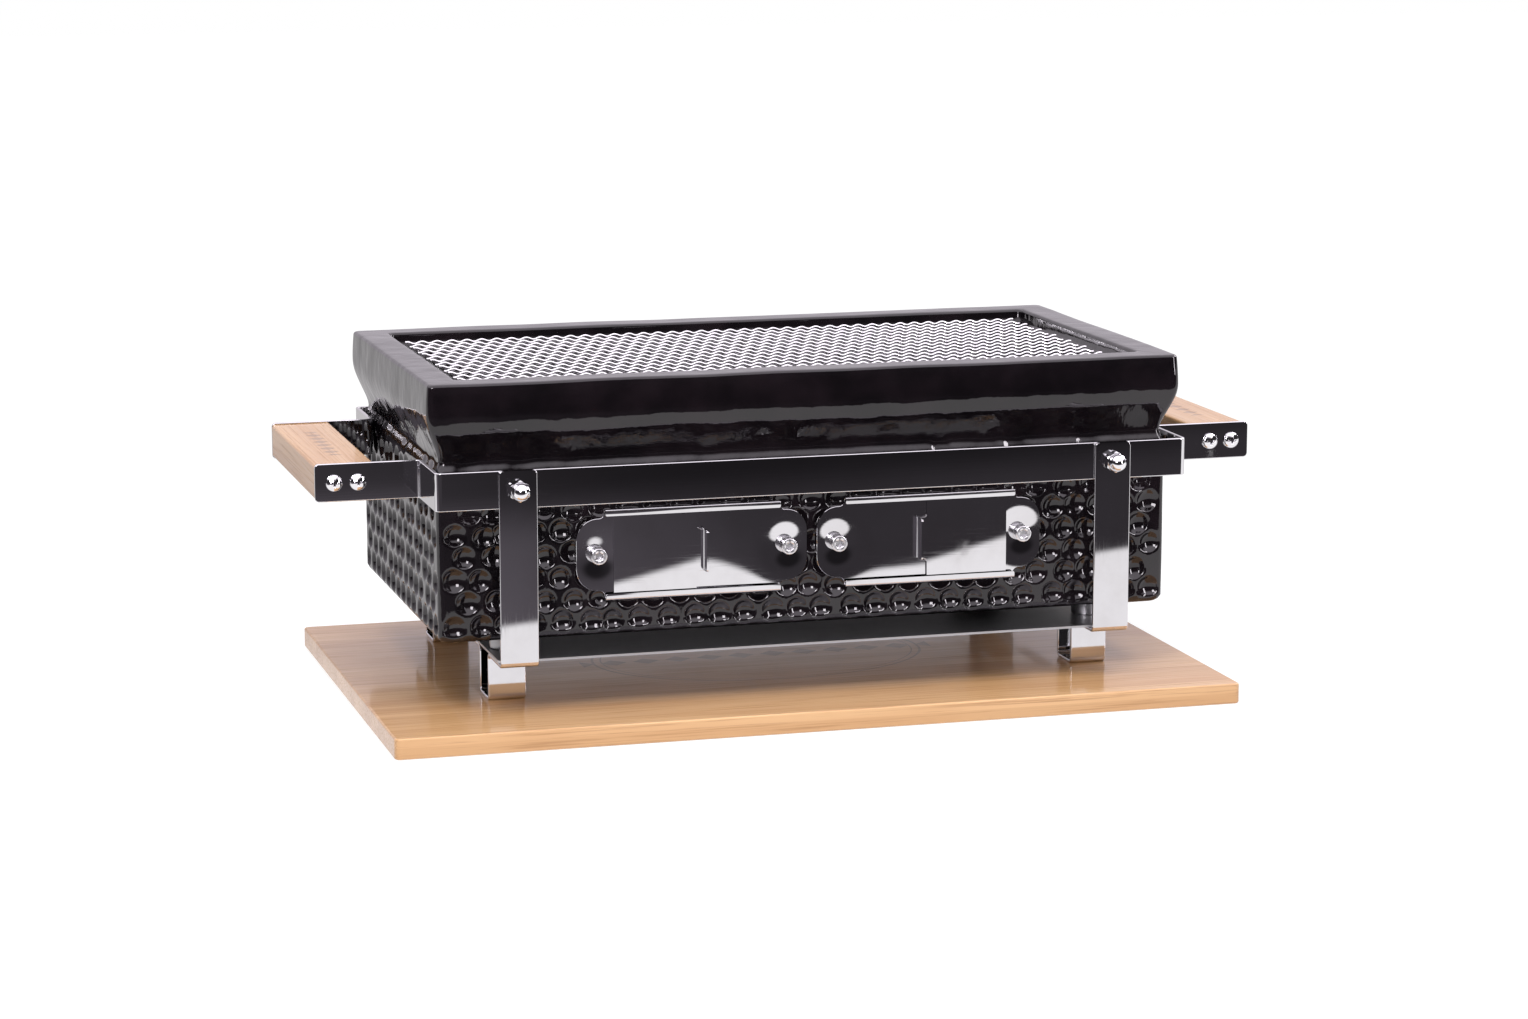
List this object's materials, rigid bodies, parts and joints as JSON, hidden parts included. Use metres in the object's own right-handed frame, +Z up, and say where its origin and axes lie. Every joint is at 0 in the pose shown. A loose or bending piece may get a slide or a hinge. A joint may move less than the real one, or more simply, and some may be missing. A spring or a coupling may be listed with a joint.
{
  "type": "hibachi grill",
  "caption": "Table-top charcoal grill: glazed clay firebox with a woven cooking mesh and sliding air vents, in a steel carrying frame with wooden handles, on a wooden board.",
  "frame": {"origin": "on the underside of the wooden board, directly below the middle of the firebox", "axes": "+X to the right along the long side as seen from the vents, +Y to the back, away from the vents, +Z up"},
  "size_m": [0.516, 0.283, 0.181],
  "materials": {
    "glazed_clay": "black high-gloss glaze over dimpled clay",
    "bamboo": "lacquered bamboo",
    "polished_steel": "mirror-polished stainless steel with fine scratches",
    "satin_steel": "satin stainless steel",
    "wire_steel": "bright crimped stainless wire",
    "bare_steel": "dull bare steel"
  },
  "bodies": {
    "board": {"serving_board": "bamboo"},
    "frame": {"band_front": "polished_steel", "band_back": "polished_steel", "handle_left": "bamboo", "handle_right": "bamboo", "handle_screw_left_front_outer": "polished_steel", "handle_screw_left_front_inner": "polished_steel", "handle_screw_left_back_outer": "polished_steel", "handle_screw_left_back_inner": "polished_steel", "handle_screw_right_front_outer": "polished_steel", "handle_screw_right_front_inner": "polished_steel", "handle_screw_right_back_outer": "polished_steel", "handle_screw_right_back_inner": "polished_steel", "leg_strap_left": "satin_steel", "leg_strap_right": "satin_steel", "dome_nut_left_front": "polished_steel", "dome_nut_left_back": "polished_steel", "dome_nut_right_front": "polished_steel", "dome_nut_right_back": "polished_steel", "leg_stud_left_front": "satin_steel", "leg_stud_left_back": "satin_steel", "leg_stud_right_front": "satin_steel", "leg_stud_right_back": "satin_steel", "heat_shield": "satin_steel", "spacer_left_front": "bare_steel", "spacer_left_back": "bare_steel", "spacer_right_front": "bare_steel", "spacer_right_back": "bare_steel"},
    "firebox": {"firebox": "glazed_clay", "vent_plate_left": "polished_steel", "vent_plate_right": "polished_steel", "vent_screw_left_inner": "satin_steel", "vent_screw_left_outer": "satin_steel", "vent_screw_right_inner": "satin_steel", "vent_screw_right_outer": "satin_steel"},
    "cooking_mesh": {"grill_mesh": "wire_steel"},
    "coal_grate": {"charcoal_grate": "bare_steel"},
    "left_door": {"vent_door_left": "polished_steel"},
    "right_door": {"vent_door_right": "polished_steel"}
  },
  "joints": [
    {"name": "grill_lift", "type": "slide", "parent": "board", "child": "frame", "axis": [0, 0, 1], "range_m": [0, 0.15]},
    {"name": "firebox_lift", "type": "slide", "parent": "frame", "child": "firebox", "axis": [0, 0, 1], "range_m": [0, 0.12]},
    {"name": "mesh_lift", "type": "slide", "parent": "firebox", "child": "cooking_mesh", "axis": [0, 0, 1], "range_m": [0, 0.1]},
    {"name": "grate_lift", "type": "slide", "parent": "firebox", "child": "coal_grate", "axis": [0, 0, 1], "range_m": [0, 0.045]},
    {"name": "left_door_slide", "type": "slide", "parent": "firebox", "child": "left_door", "axis": [1, 0, 0], "range_m": [0, 0.038]},
    {"name": "right_door_slide", "type": "slide", "parent": "firebox", "child": "right_door", "axis": [-1, 0, 0], "range_m": [0, 0.038]}
  ]
}
